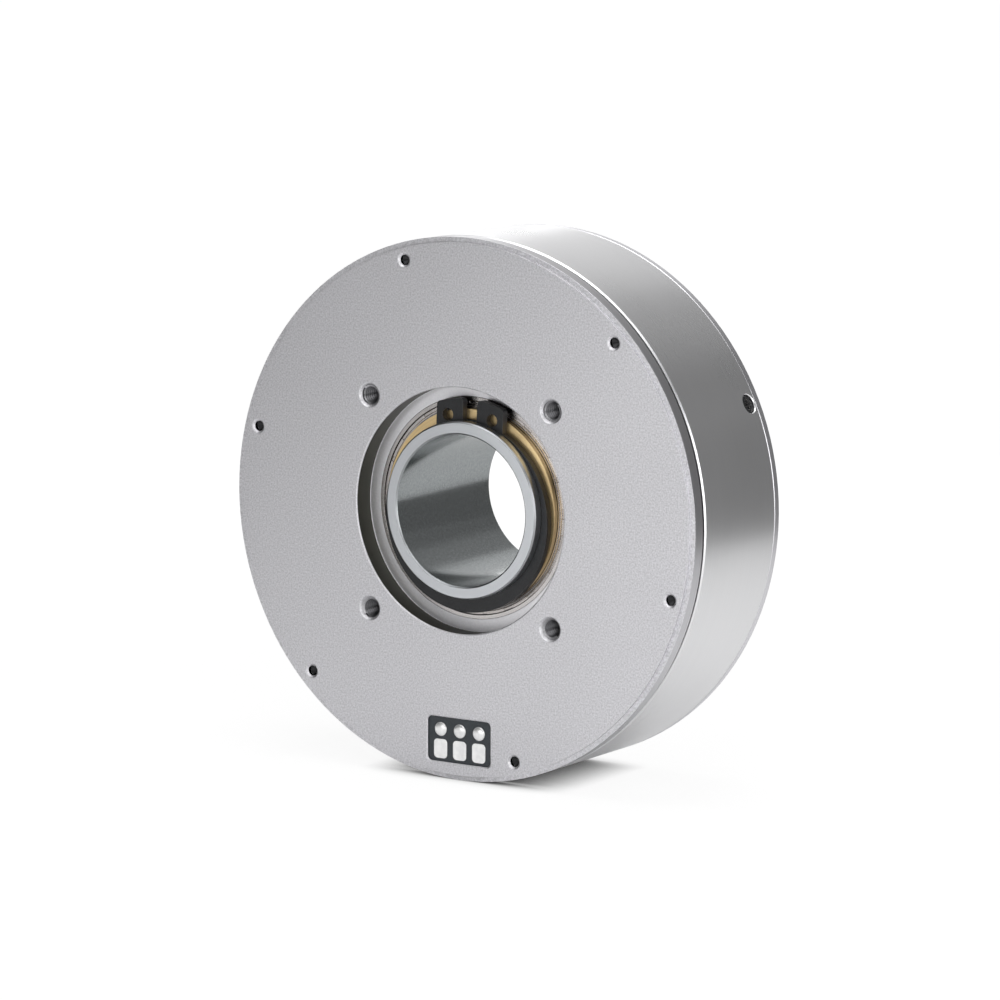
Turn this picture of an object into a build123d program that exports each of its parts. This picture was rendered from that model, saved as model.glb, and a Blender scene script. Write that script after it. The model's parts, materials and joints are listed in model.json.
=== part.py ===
"""A hollow-shaft gimbal motor: a still stator with a threaded mounting plate, and a can that turns around it.

Millimetres. The spin axis is Y. The origin is the centre of the mounting face, and the motor lies towards +Y.
A place round the axis is given by its angle in degrees, from +X towards +Z.
"""

import os
from math import radians, sin

from build123d import *

# Clearances
FIT = 0.05  # on the radius, between pieces that are pressed, glued or screwed together
BALL_PLAY = 0.05  # between a ball and its races or its cage
AIR_GAP = 0.5  # between the stator core and the magnets
WIRE_GAP = 0.15  # between a coil and its tooth
RIM_GAP = 1.0  # between the mounting plate and the can

# Outside of the motor
BODY_R = 53.5
LENGTH = 32.0
SPIGOT_PROUD = 1.0

# Mounting plate
LEDGE_WIDTH = 1.0
LEDGE_DEPTH = 0.5
PLATE_THICK = 3.3
RECESS_SHOULDER = 2.5  # width of the recess's floor round the bearing
RECESS_DEEP = 5.0
HUB_LAND = 1.5  # how far the ring between the bearings stands in from their seats
CORE_SEAT_WIDTH = 2.0
HOLE_CHAMFER = 0.5

# Threaded holes, on a circle of 60 mm in the mounting plate and of 70 mm in the end plate
BOLT_INSET = 5.0  # from the hub's outer face to the axis of a front hole
REAR_BOLT_OUTSET = 17.5  # from the shaft to the axis of a rear hole
BOLT_R = 2.0
BOLT_DEEP = 8.0
BOLT_COUNT = 4
BOLT_ANGLE = 45.0

# Blind holes near the rim, on a circle of 100 mm
DOWEL_INSET = 3.5  # from the rim to a hole's axis
DOWEL_R = 1.5
DOWEL_DEEP = 1.8
DOWEL_COUNT = 6
DOWEL_ANGLE = 45.0
DRILL_TIP = 0.6  # height of a drilled hole's cone, over its radius

# Terminal window and board
WINDOW_X = 15.2
WINDOW_Z = 9.4
WINDOW_CORNER = 1.0
WINDOW_INSET = 7.8  # from the rim to the window's middle
BOARD_FIT = 0.05
BOARD_THICK = 1.6
BOARD_BELOW = 0.4
PAD_PITCH = 4.5
PAD_X = 3.1
PAD_Z = 3.85
PAD_THICK = 0.1
PAD_CORNER = 0.6
PAD_BELOW_CENTRE = 1.95
JOINT_ABOVE_CENTRE = 1.95
JOINT_R = 1.4
JOINT_HIGH = 0.38
LEAD_R = 0.45
LEAD_HOLE_R = 0.6
LEAD_SLOT_MARGIN = 0.9

# Ball bearings
BEARING_BORE_R = 17.5
BEARING_SECTION = 4.5  # from the bore to the outer face
BEARING_WIDE = 5.0
RACE_WALL = 0.8
BALL_COUNT = 18
CAGE_GAP = 0.4  # between the cage and the races
CAGE_THICK = 0.7
CAGE_WEB = 0.7
SHIELD_THICK = 0.25
SHIELD_BELOW = 0.15
SHIELD_GAP = 0.75  # between a shield and the inner race

# Hollow shaft
SHAFT_WALL = 2.5
SHAFT_FRONT_Y = 0.4
SHAFT_CHAMFER = 0.3
SHAFT_COLLAR = 1.5
COLLAR_THICK = 1.5

# Retaining ring and shim
RING_THICK = 1.5
RING_GROOVE_DEEP = 1.0
RING_GROOVE_PLAY = 0.1
RING_PROUD = 1.45  # how much larger the ring's outer radius is than the shaft's
RING_OFFSET = 1.4
RING_GAP = 3.3
LUG_WIDE = 6.1
LUG_PROUD = 4.4  # how far the lugs reach past the shaft
LUG_HOLE_R = 1.25
LUG_HOLE_PROUD = 1.4
LUG_HOLE_ANGLE = 15.8
LUG_CORNER = 0.8
RING_TURN = -2.6
SHIM_THICK = 1.0
SHIM_WIDE = 2.1

# Stator core and coils
CORE_STAND = 4.2  # from the plate's rear face to the core
TOOTH_COUNT = 24
TOOTH_WIDE = 4.4
YOKE = 4.2
SHOE_EDGE = 0.8
SHOE_DEEP = 1.6
SLOT_MOUTH = 2.2
COIL_DEEP = 6.2  # along the tooth
COIL_THICK = 2.5
COIL_CORNER = 1.6
COIL_FOOT = 0.6
COIL_HEAD = 0.3
PHASES = ("u", "v", "w")
TOOTH_PITCH = 360.0 / TOOTH_COUNT
COILS_TOGETHER = 2  # neighbouring teeth that carry the same phase
LEAD_RUN_TEETH = 2.5  # how far round the middle lead reaches, in teeth

# Rotor can, magnets and end plate
CAN_WALL = 2.5
CAN_CHAMFER = 0.3
MAGNET_COUNT = 28
MAGNET_THICK = 2.5
MAGNET_OVERHANG = 1.0  # past each end of the stator core
MAGNET_CLEAR = 1.8  # between the magnets and the end plate's collar
MAGNET_SPACE_ANGLE = 1.4  # left open between neighbours
END_RIM = 2.0
END_RIM_CHAMFER = 0.3
END_PLATE_THICK = 4.0
END_BOSS_WALL = 6.5
END_BOSS_HIGH = 2.5
END_SPIGOT_WALL = 4.0
END_SPIGOT_LONG = 4.7
CAN_SCREW_COUNT = 3
CAN_SCREW_ANGLE = 24.0
CAN_SCREW_BACK = 2.2  # from the can's rear edge to the screw's axis
CAN_SCREW_R = 1.25
CAN_SCREW_LONG = 4.2
CAN_SCREW_HEAD_R = 1.8
CAN_SCREW_HEAD_THICK = 1.1
CAN_SCREW_SINK = 1.5
CAN_SCREW_PLAY = 0.12
CAN_SCREW_POCKET_CHAMFER = 0.2

# Bearings, worked out from the sizes above
BEARING_R = BEARING_BORE_R + BEARING_SECTION
BEARING_MID_R = (BEARING_BORE_R + BEARING_R) / 2
BALL_ROOM_R = BEARING_SECTION / 2 - RACE_WALL
BALL_R = BALL_ROOM_R - BALL_PLAY
RACE_IN_R = BEARING_MID_R - BALL_ROOM_R
RACE_OUT_R = BEARING_MID_R + BALL_ROOM_R
FRONT_BEARING_Y = RECESS_DEEP
BALLS_Y = FRONT_BEARING_Y + BEARING_WIDE / 2

# Along the axis, from both ends to the middle
CAN_FRONT_Y = PLATE_THICK + RIM_GAP
CAN_REAR_Y = LENGTH - END_RIM
END_PLATE_Y = LENGTH - END_PLATE_THICK
END_SPIGOT_Y = CAN_REAR_Y - END_SPIGOT_LONG
COLLAR_REAR_Y = END_PLATE_Y - END_BOSS_HIGH
HUB_END_Y = COLLAR_REAR_Y - COLLAR_THICK
REAR_BEARING_Y = HUB_END_Y - BEARING_WIDE
MAGNET_REAR_Y = END_SPIGOT_Y - MAGNET_CLEAR
CORE_FRONT_Y = PLATE_THICK + CORE_STAND
CORE_REAR_Y = MAGNET_REAR_Y - MAGNET_OVERHANG
CORE_MID_Y = (CORE_FRONT_Y + CORE_REAR_Y) / 2
CORE_LONG = CORE_REAR_Y - CORE_FRONT_Y
MAGNET_FRONT_Y = CORE_FRONT_Y - MAGNET_OVERHANG
COIL_FRONT_Y = CORE_FRONT_Y - WIRE_GAP - COIL_THICK
SHIM_REAR_Y = FRONT_BEARING_Y
RING_REAR_Y = SHIM_REAR_Y - SHIM_THICK
RING_FRONT_Y = RING_REAR_Y - RING_THICK
BOARD_REAR_Y = BOARD_BELOW + BOARD_THICK
CAN_SCREW_Y = CAN_REAR_Y - CAN_SCREW_BACK

# Across the axis, from the rim inwards
CAN_BORE_R = BODY_R - CAN_WALL
MAGNET_R = CAN_BORE_R - FIT
CORE_R = MAGNET_R - MAGNET_THICK - AIR_GAP
SHOE_FOOT_R = CORE_R - SHOE_DEEP
COIL_OUT_R = SHOE_FOOT_R - COIL_HEAD
COIL_IN_R = COIL_OUT_R - COIL_DEEP
YOKE_R = COIL_IN_R - COIL_FOOT
CORE_BORE_R = YOKE_R - YOKE
HUB_R = CORE_BORE_R - FIT
BOLT_CIRCLE_R = HUB_R - BOLT_INSET
DOWEL_CIRCLE_R = BODY_R - DOWEL_INSET
WINDOW_CENTRE_Z = WINDOW_INSET - BODY_R
JOINT_Z = WINDOW_CENTRE_Z + JOINT_ABOVE_CENTRE
END_SPIGOT_R = CAN_BORE_R - FIT
END_SPIGOT_IN_R = END_SPIGOT_R - END_SPIGOT_WALL
CAN_SCREW_SEAT_R = BODY_R - CAN_SCREW_SINK
CAN_SCREW_TIP_R = CAN_SCREW_SEAT_R - CAN_SCREW_LONG

# Round the shaft, from its surface
BORE_R = BEARING_BORE_R - SHAFT_WALL
RECESS_R = BEARING_R + RECESS_SHOULDER
COLLAR_R = BEARING_BORE_R + SHAFT_COLLAR
GROOVE_R = BEARING_BORE_R - RING_GROOVE_DEEP
RING_OUTER_R = BEARING_BORE_R + RING_PROUD
LUG_REACH = BEARING_BORE_R + LUG_PROUD
LUG_HOLE_PLACE = BEARING_BORE_R + LUG_HOLE_PROUD
END_BOSS_R = BEARING_BORE_R + END_BOSS_WALL
REAR_BOLT_CIRCLE_R = BEARING_BORE_R + REAR_BOLT_OUTSET


# Ways to make a shape
def turned(*outline):
    """A ring or disc turned about the spin axis, from its section's corners as (radius, y)."""
    return revolve(make_face(Polyline(*outline, close=True)), Axis.Y)


def turned_ring(inner, outer, front, rear):
    return turned((inner, front), (outer, front), (outer, rear), (inner, rear))


def slab(sketch, front, rear):
    """A flat sketch, its x along X and its y along Z, made solid from front to rear along Y."""
    return Pos(0, rear, 0) * Rot(X=90) * extrude(sketch, rear - front)


def bar(x, z, front, rear, radius):
    """A round bar along Y."""
    return Pos(x, 0, z) * turned((0, front), (radius, front), (radius, rear), (0, rear))


def radial_bar(inner, outer, radius, outer_radius=None):
    """A round bar or cone at angle 0 and on the can screws' line, from the inner to the outer radius of the motor."""
    base = (Align.CENTER, Align.CENTER, Align.MIN)
    if outer_radius is None:
        shape = Cylinder(radius, outer - inner, align=base)
    else:
        shape = Cone(radius, outer_radius, outer - inner, align=base)
    return Pos(inner, CAN_SCREW_Y, 0) * Rot(Y=90) * shape


def turned_to(angle, shape):
    return Rot(Y=-angle) * shape


def angles(count, start=0.0):
    return [start + 360.0 * i / count for i in range(count)]


def around(shape, count, start=0.0):
    """Copies of a shape that is made at angle 0."""
    return [turned_to(angle, shape) for angle in angles(count, start)]


def sketch_around(sketch, count, start=0.0):
    return [Rot(Z=angle) * sketch for angle in angles(count, start)]


def drilled(radius, face, floor, mouth=0.0):
    """The room of a drilled hole on the spin axis, from a face to its floor, with a chamfered mouth."""
    way = 1 if floor > face else -1
    rim = [(radius + mouth, face), (radius, face + way * mouth)] if mouth else [(radius, face)]
    return turned((0, face), *rim, (radius, floor), (0, floor + way * radius * DRILL_TIP))


# Stator
def mounting_plate():
    """The front plate and its hub, which holds both bearings inside and the stator core outside."""
    ledge_r = BODY_R - LEDGE_WIDTH
    seat_r = HUB_R + CORE_SEAT_WIDTH
    land_r = BEARING_R - HUB_LAND
    land_front = FRONT_BEARING_Y + BEARING_WIDE
    body = turned(
        (RECESS_R, 0),
        (ledge_r, 0),
        (ledge_r, LEDGE_DEPTH),
        (BODY_R, LEDGE_DEPTH),
        (BODY_R, PLATE_THICK),
        (seat_r, PLATE_THICK),
        (seat_r, CORE_FRONT_Y),
        (HUB_R, CORE_FRONT_Y),
        (HUB_R, HUB_END_Y),
        (BEARING_R, HUB_END_Y),
        (BEARING_R, REAR_BEARING_Y),
        (land_r, REAR_BEARING_Y),
        (land_r, land_front),
        (BEARING_R, land_front),
        (BEARING_R, RECESS_DEEP),
        (RECESS_R, RECESS_DEEP),
    )
    bolt_hole = Pos(BOLT_CIRCLE_R, 0, 0) * drilled(BOLT_R, 0, BOLT_DEEP, HOLE_CHAMFER)
    dowel_hole = Pos(DOWEL_CIRCLE_R, 0, 0) * drilled(DOWEL_R, 0, DOWEL_DEEP)
    window = slab(Pos(0, WINDOW_CENTRE_Z) * RectangleRounded(WINDOW_X, WINDOW_Z, WINDOW_CORNER), 0, BOARD_REAR_Y)
    lead_slot_wide = 2 * (LEAD_HOLE_R + LEAD_SLOT_MARGIN)
    lead_slot = slab(Pos(0, JOINT_Z) * SlotCenterToCenter(2 * PAD_PITCH, lead_slot_wide), 0, PLATE_THICK)
    holes = around(bolt_hole, BOLT_COUNT, BOLT_ANGLE) + around(dowel_hole, DOWEL_COUNT, DOWEL_ANGLE)
    return body - holes - window - lead_slot


def pad_places():
    return [-PAD_PITCH, 0.0, PAD_PITCH]


def terminal_board():
    outline = RectangleRounded(
        WINDOW_X - 2 * BOARD_FIT, WINDOW_Z - 2 * BOARD_FIT, WINDOW_CORNER - BOARD_FIT
    )
    board = slab(Pos(0, WINDOW_CENTRE_Z) * outline, BOARD_BELOW, BOARD_REAR_Y)
    return board - [bar(x, JOINT_Z, BOARD_BELOW, BOARD_REAR_Y, LEAD_HOLE_R) for x in pad_places()]


def terminal_pads():
    pad = RectangleRounded(PAD_X, PAD_Z, PAD_CORNER)
    z = WINDOW_CENTRE_Z - PAD_BELOW_CENTRE
    return [slab(Pos(x, z) * pad, BOARD_BELOW - PAD_THICK, BOARD_BELOW) for x in pad_places()]


def solder_joints():
    """A low dome over each lead hole."""
    foot, rim, crown = (0, BOARD_BELOW), (JOINT_R, BOARD_BELOW), (0, BOARD_BELOW - JOINT_HIGH)
    half = make_face([Line(foot, rim), TangentArc(crown, rim, tangent=(1, 0)), Line(crown, foot)])
    return [Pos(x, 0, JOINT_Z) * revolve(half, Axis.Y) for x in pad_places()]


def phase_leads():
    """The outer leads end at the coils behind them. The middle one runs on across them to the third phase."""
    rear = COIL_FRONT_Y - WIRE_GAP
    left, middle, right = [bar(x, JOINT_Z, BOARD_BELOW, rear, LEAD_R) for x in pad_places()]
    half_angle = LEAD_RUN_TEETH * TOOTH_PITCH / 2
    run_long = -2 * JOINT_Z * sin(radians(half_angle))
    run = Rot(Y=90) * Cylinder(LEAD_R, run_long, align=(Align.CENTER, Align.CENTER, Align.MIN))
    run = Pos(0, rear - LEAD_R, JOINT_Z) * turned_to(180 - half_angle, run)
    return [left, middle + run, right]


def stator_core():
    """Teeth with shoes on a yoke. Each slot is cut on the line halfway between two teeth, the first at angle 0."""
    side = -TOOTH_WIDE / 2
    root, foot = [Vector(r, side).rotate(Axis.Z, TOOTH_PITCH / 2) for r in (YOKE_R, SHOE_FOOT_R)]
    mouth = SLOT_MOUTH / 2
    half = [(root.X, root.Y), (foot.X, foot.Y), (CORE_R - SHOE_EDGE, mouth), (CORE_R + SHOE_EDGE, mouth)]
    slot = Polygon(*half, *[(x, -y) for x, y in reversed(half)], align=None)
    plan = Circle(CORE_R) - Circle(CORE_BORE_R) - sketch_around(slot, TOOTH_COUNT)
    return slab(plan, CORE_FRONT_Y, CORE_REAR_Y)


def coil():
    """One coil on the tooth at angle 0."""
    inner_wide = TOOTH_WIDE + 2 * WIRE_GAP
    inner_long = CORE_LONG + 2 * WIRE_GAP
    outer = Box(COIL_DEEP, inner_long + 2 * COIL_THICK, inner_wide + 2 * COIL_THICK)
    outer = chamfer(outer.edges().filter_by(Axis.X), COIL_CORNER)
    ring = outer - Box(COIL_DEEP, inner_long, inner_wide)
    return Pos((COIL_IN_R + COIL_OUT_R) / 2, CORE_MID_Y, 0) * ring


def coils(phase):
    wound = coil()
    return [
        turned_to(angle, wound)
        for tooth, angle in enumerate(angles(TOOTH_COUNT, TOOTH_PITCH / 2))
        if (tooth // COILS_TOGETHER) % len(PHASES) == PHASES.index(phase)
    ]


# Front ball bearing. The rear one is its mirror image.
def at_rear(shape):
    middle = (FRONT_BEARING_Y + HUB_END_Y) / 2
    return mirror(shape, Plane((0, middle, 0), z_dir=(0, 1, 0)))


def outer_race():
    return turned_ring(RACE_OUT_R, BEARING_R - FIT, FRONT_BEARING_Y, FRONT_BEARING_Y + BEARING_WIDE)


def inner_race():
    return turned_ring(BEARING_BORE_R + FIT, RACE_IN_R, FRONT_BEARING_Y, FRONT_BEARING_Y + BEARING_WIDE)


def shield():
    """The plate that closes the bearing, pressed into the outer race and clear of the inner race."""
    front = FRONT_BEARING_Y + SHIELD_BELOW
    return turned_ring(RACE_IN_R + SHIELD_GAP, RACE_OUT_R - FIT, front, front + SHIELD_THICK)


def balls():
    """Balls with 26 flats, their corners on the true ball: a cube with all its edges cut off evenly."""
    corner = Vector(1, 2**0.5 - 1, 2**0.5 - 1)
    half = BALL_R / corner.length
    ball = chamfer(Box(2 * half, 2 * half, 2 * half).edges(), half * (2 - 2**0.5))
    return around(Pos(BEARING_MID_R, BALLS_Y, 0) * ball, BALL_COUNT)


def cage():
    """A crown cage: a ring behind the balls, straight from web to web, with a web between each two balls."""
    pitch = 360.0 / BALL_COUNT
    ring_y = BALLS_Y + BALL_ROOM_R
    hole = RegularPolygon(RACE_IN_R + CAGE_GAP, BALL_COUNT, major_radius=False)
    ring = slab(RegularPolygon(RACE_OUT_R - CAGE_GAP, BALL_COUNT) - hole, ring_y, ring_y + CAGE_THICK)
    web_wide = 2 * BEARING_MID_R * sin(radians(pitch / 2)) - 2 * BALL_ROOM_R
    web = Box(CAGE_WEB, 2 * BALL_R, web_wide, align=(Align.CENTER, Align.MAX, Align.CENTER))
    return ring + around(Pos(BEARING_MID_R, ring_y, 0) * web, BALL_COUNT, pitch / 2)


# Rotor
def hollow_shaft():
    groove_front = RING_FRONT_Y - RING_GROOVE_PLAY
    inner_edge = BORE_R + SHAFT_CHAMFER
    outer_edge = BEARING_BORE_R - SHAFT_CHAMFER
    chamfer_y = SHAFT_FRONT_Y + SHAFT_CHAMFER
    rear = LENGTH + SPIGOT_PROUD
    return turned(
        (inner_edge, SHAFT_FRONT_Y),
        (outer_edge, SHAFT_FRONT_Y),
        (BEARING_BORE_R, chamfer_y),
        (BEARING_BORE_R, groove_front),
        (GROOVE_R, groove_front),
        (GROOVE_R, RING_REAR_Y),
        (BEARING_BORE_R, RING_REAR_Y),
        (BEARING_BORE_R, HUB_END_Y),
        (COLLAR_R, HUB_END_Y),
        (COLLAR_R, COLLAR_REAR_Y),
        (BEARING_BORE_R, COLLAR_REAR_Y),
        (BEARING_BORE_R, rear),
        (BORE_R, rear),
        (BORE_R, chamfer_y),
    )


def retaining_ring():
    """An open ring that is widest opposite its gap, with a drilled lug at each end."""
    lug = Pos(RING_GAP / 2, 0) * Rectangle(LUG_WIDE, LUG_REACH, align=(Align.MIN, Align.MIN))
    lug = lug & Circle(LUG_REACH)
    lug = fillet(lug.vertices().sort_by(Axis.Y)[-2:], LUG_CORNER)
    gap = Rectangle(RING_GAP, LUG_REACH, align=(Align.CENTER, Align.MIN))
    hole = Pos(0, LUG_HOLE_PLACE) * Circle(LUG_HOLE_R)
    plan = Pos(0, -RING_OFFSET) * Circle(RING_OUTER_R) + lug + mirror(lug, Plane.YZ)
    plan -= [Circle(GROOVE_R + FIT), gap, Rot(Z=LUG_HOLE_ANGLE) * hole, Rot(Z=-LUG_HOLE_ANGLE) * hole]
    return slab(Rot(Z=RING_TURN) * plan, RING_FRONT_Y, RING_REAR_Y)


def shim_washer():
    inner = BEARING_BORE_R + FIT
    return turned_ring(inner, inner + SHIM_WIDE, RING_REAR_Y, SHIM_REAR_Y)


def can_screw():
    """A cheese-head screw at angle 0 that points inwards."""
    shank = radial_bar(CAN_SCREW_TIP_R, CAN_SCREW_SEAT_R, CAN_SCREW_R)
    return shank + radial_bar(CAN_SCREW_SEAT_R, CAN_SCREW_SEAT_R + CAN_SCREW_HEAD_THICK, CAN_SCREW_HEAD_R)


def rotor_can():
    """The tube, with a pocket for each screw's head."""
    tube = turned(
        (CAN_BORE_R, CAN_FRONT_Y),
        (BODY_R - CAN_CHAMFER, CAN_FRONT_Y),
        (BODY_R, CAN_FRONT_Y + CAN_CHAMFER),
        (BODY_R, CAN_REAR_Y),
        (CAN_BORE_R, CAN_REAR_Y),
    )
    pocket_r = CAN_SCREW_HEAD_R + CAN_SCREW_PLAY
    mouth_r = pocket_r + CAN_SCREW_POCKET_CHAMFER
    room = radial_bar(CAN_SCREW_TIP_R, CAN_SCREW_SEAT_R, CAN_SCREW_R + CAN_SCREW_PLAY)
    room += radial_bar(CAN_SCREW_SEAT_R, BODY_R, pocket_r)
    room += radial_bar(BODY_R - CAN_SCREW_POCKET_CHAMFER, BODY_R, pocket_r, mouth_r)
    return tube - around(room, CAN_SCREW_COUNT, CAN_SCREW_ANGLE)


def magnets(first):
    """Every second magnet, from the first or the second."""
    pitch = 360.0 / MAGNET_COUNT
    inner = MAGNET_R - MAGNET_THICK
    ends = ((inner, MAGNET_FRONT_Y), (MAGNET_R, MAGNET_FRONT_Y), (MAGNET_R, MAGNET_REAR_Y), (inner, MAGNET_REAR_Y))
    magnet = revolve(make_face(Polyline(*ends, close=True)), Axis.Y, pitch - MAGNET_SPACE_ANGLE)
    return around(magnet, MAGNET_COUNT // 2, first * pitch)


def rotor_end_plate():
    """The rear plate, its rim as wide as the can and its collar fitted inside the can."""
    body = turned(
        (BEARING_BORE_R + FIT, COLLAR_REAR_Y),
        (END_BOSS_R, COLLAR_REAR_Y),
        (END_BOSS_R, END_PLATE_Y),
        (END_SPIGOT_IN_R, END_PLATE_Y),
        (END_SPIGOT_IN_R, END_SPIGOT_Y),
        (END_SPIGOT_R, END_SPIGOT_Y),
        (END_SPIGOT_R, CAN_REAR_Y),
        (BODY_R - END_RIM_CHAMFER, CAN_REAR_Y),
        (BODY_R, CAN_REAR_Y + END_RIM_CHAMFER),
        (BODY_R, LENGTH - END_RIM_CHAMFER),
        (BODY_R - END_RIM_CHAMFER, LENGTH),
        (BEARING_BORE_R + FIT, LENGTH),
    )
    bolt_hole = Pos(REAR_BOLT_CIRCLE_R, 0, 0) * drilled(BOLT_R, LENGTH, END_PLATE_Y, HOLE_CHAMFER)
    screw_hole = radial_bar(CAN_SCREW_TIP_R, CAN_SCREW_SEAT_R, CAN_SCREW_R + FIT)
    holes = around(bolt_hole, BOLT_COUNT, BOLT_ANGLE) + around(screw_hole, CAN_SCREW_COUNT, CAN_SCREW_ANGLE)
    return body - holes


def save(name, *pieces):
    """One file for a node, with each of its separate pieces as a solid of its own."""
    solids = [solid for piece in pieces for solid in piece.solids()]
    export_step(Compound(solids), f"parts/{name}.step")


os.makedirs("parts", exist_ok=True)
save("mounting_plate", mounting_plate())
save("stator_core", stator_core())
for phase in PHASES:
    save(f"coils_phase_{phase}", *coils(phase))
save("phase_leads", *phase_leads())
save("terminal_board", terminal_board())
save("terminal_pads", *terminal_pads())
save("solder_joints", *solder_joints())
save("front_bearing_outer_race", outer_race())
save("front_bearing_inner_race", inner_race())
save("front_bearing_shield", shield())
save("front_bearing_balls", *balls())
save("front_bearing_cage", cage())
save("rear_bearing_outer_race", at_rear(outer_race()))
save("rear_bearing_inner_race", at_rear(inner_race()))
save("rear_bearing_shield", at_rear(shield()))
save("rear_bearing_balls", *[at_rear(ball) for ball in balls()])
save("rear_bearing_cage", at_rear(cage()))
save("hollow_shaft", hollow_shaft())
save("retaining_ring", retaining_ring())
save("shim_washer", shim_washer())
save("rotor_can", rotor_can())
save("rotor_end_plate", rotor_end_plate())
save("magnets_north", *magnets(0))
save("magnets_south", *magnets(1))
save("can_screws", *around(can_screw(), CAN_SCREW_COUNT, CAN_SCREW_ANGLE))
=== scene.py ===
"""Looks for the gimbal motor: threads, bearing shields, terminals, screws, finishes and a studio."""

import json
import math

import bmesh
import bpy
from bpy.props import FloatProperty, FloatVectorProperty, IntProperty, PointerProperty
from mathutils import Matrix, Vector


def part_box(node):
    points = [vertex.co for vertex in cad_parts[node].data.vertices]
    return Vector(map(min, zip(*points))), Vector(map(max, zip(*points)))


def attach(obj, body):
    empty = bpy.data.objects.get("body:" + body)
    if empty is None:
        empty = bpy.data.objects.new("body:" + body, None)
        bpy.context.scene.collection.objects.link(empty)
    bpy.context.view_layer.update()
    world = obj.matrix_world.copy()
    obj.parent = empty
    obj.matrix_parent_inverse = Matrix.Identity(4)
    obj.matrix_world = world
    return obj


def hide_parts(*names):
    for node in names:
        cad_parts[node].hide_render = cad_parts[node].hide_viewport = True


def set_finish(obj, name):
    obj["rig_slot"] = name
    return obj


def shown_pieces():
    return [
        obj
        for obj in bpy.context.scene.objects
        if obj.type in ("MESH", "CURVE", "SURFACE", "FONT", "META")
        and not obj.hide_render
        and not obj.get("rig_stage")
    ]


bl_info = {
    "name": "Gimbal Motor Looks",
    "version": (1, 0, 0),
    "blender": (4, 5, 0),
    "location": "View3D > Sidebar > Motor",
    "description": "Threads, bearing shields, terminals, screws, finishes and a studio for a hollow-shaft gimbal motor",
    "category": "Object",
}

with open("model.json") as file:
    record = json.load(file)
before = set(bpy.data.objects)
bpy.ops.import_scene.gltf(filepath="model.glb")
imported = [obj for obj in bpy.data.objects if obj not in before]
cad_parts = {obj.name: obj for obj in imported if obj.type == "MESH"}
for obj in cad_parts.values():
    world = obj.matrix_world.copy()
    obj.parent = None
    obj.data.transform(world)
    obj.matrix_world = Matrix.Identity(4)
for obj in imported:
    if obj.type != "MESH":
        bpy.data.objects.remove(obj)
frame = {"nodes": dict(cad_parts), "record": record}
NODES = frame["nodes"]

# Places read from the frame
PLATE_LOW, PLATE_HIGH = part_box("mounting_plate")
SCREWS_LOW, SCREWS_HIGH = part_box("can_screws")
SHIELD_LOW, SHIELD_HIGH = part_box("front_bearing_shield")
REAR_SHIELD_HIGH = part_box("rear_bearing_shield")[1]
PADS_LOW, PADS_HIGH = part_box("terminal_pads")
BOARD_LOW, BOARD_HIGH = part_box("terminal_board")
JOINTS_LOW, JOINTS_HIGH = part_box("solder_joints")
BODY_R = PLATE_HIGH.x
FACE_Y = PLATE_LOW.y
FLOOR_Z = PLATE_LOW.z
REAR_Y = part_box("rotor_end_plate")[1].y

# Zones of the finishes: radii from the axis, and depths behind the front face
BORE_R = 0.0150
SHAFT_R = 0.0175
BEARING_R = 0.0220
RECESS_R = 0.0245
RECESS_DEEP = 0.0050
SCREWS_R = 0.0400  # black steel farther out than this is a screw's
PADS_R = 0.0456  # the solder joints lie inside this radius, and the pads outside it
ZONE = 0.0002  # how far from a wall or a floor a point still counts as part of it

# Sides of round pieces
THREAD_SIDES = 28
SMALL_SIDES = 48
LARGE_SIDES = 192

# Share of a normal along an axis past which a face looks that way, and past which it lies flat
FACING = 0.9
FLAT = 0.99


# Sizes and colours that a user would change
class MotorThreads(bpy.types.PropertyGroup):
    front_r: FloatProperty(
        name="Front circle", description="From the axis to each front hole's middle", default=0.030, unit="LENGTH"
    )
    rear_r: FloatProperty(
        name="Rear circle", description="From the axis to each rear hole's middle", default=0.035, unit="LENGTH"
    )
    hole_r: FloatProperty(
        name="Hole radius", description="Radius of a threaded hole's wall", default=0.002, unit="LENGTH"
    )
    pitch: FloatProperty(name="Pitch", description="Rise of the thread in one turn", default=0.0007, unit="LENGTH")
    height: FloatProperty(
        name="Height", description="How far the ridge stands in from the wall", default=0.00036, unit="LENGTH"
    )
    root: FloatProperty(name="Root width", description="Width of the ridge at the wall", default=0.00062, unit="LENGTH")
    crest: FloatProperty(
        name="Crest width", description="Width of the ridge at its crest", default=0.0001, unit="LENGTH"
    )
    mouth: FloatProperty(
        name="Chamfer", description="Depth of the chamfer before the first turn", default=0.0006, unit="LENGTH"
    )
    front_turns: IntProperty(name="Front turns", description="Turns in each front hole", default=9, min=1)
    rear_turns: IntProperty(name="Rear turns", description="Turns in each rear hole", default=4, min=1)
    holes: IntProperty(name="Holes", description="Threaded holes on each face", default=4, min=1)
    first_angle: FloatProperty(
        name="First angle", description="Angle of the first hole", default=math.radians(45), subtype="ANGLE"
    )


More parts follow.
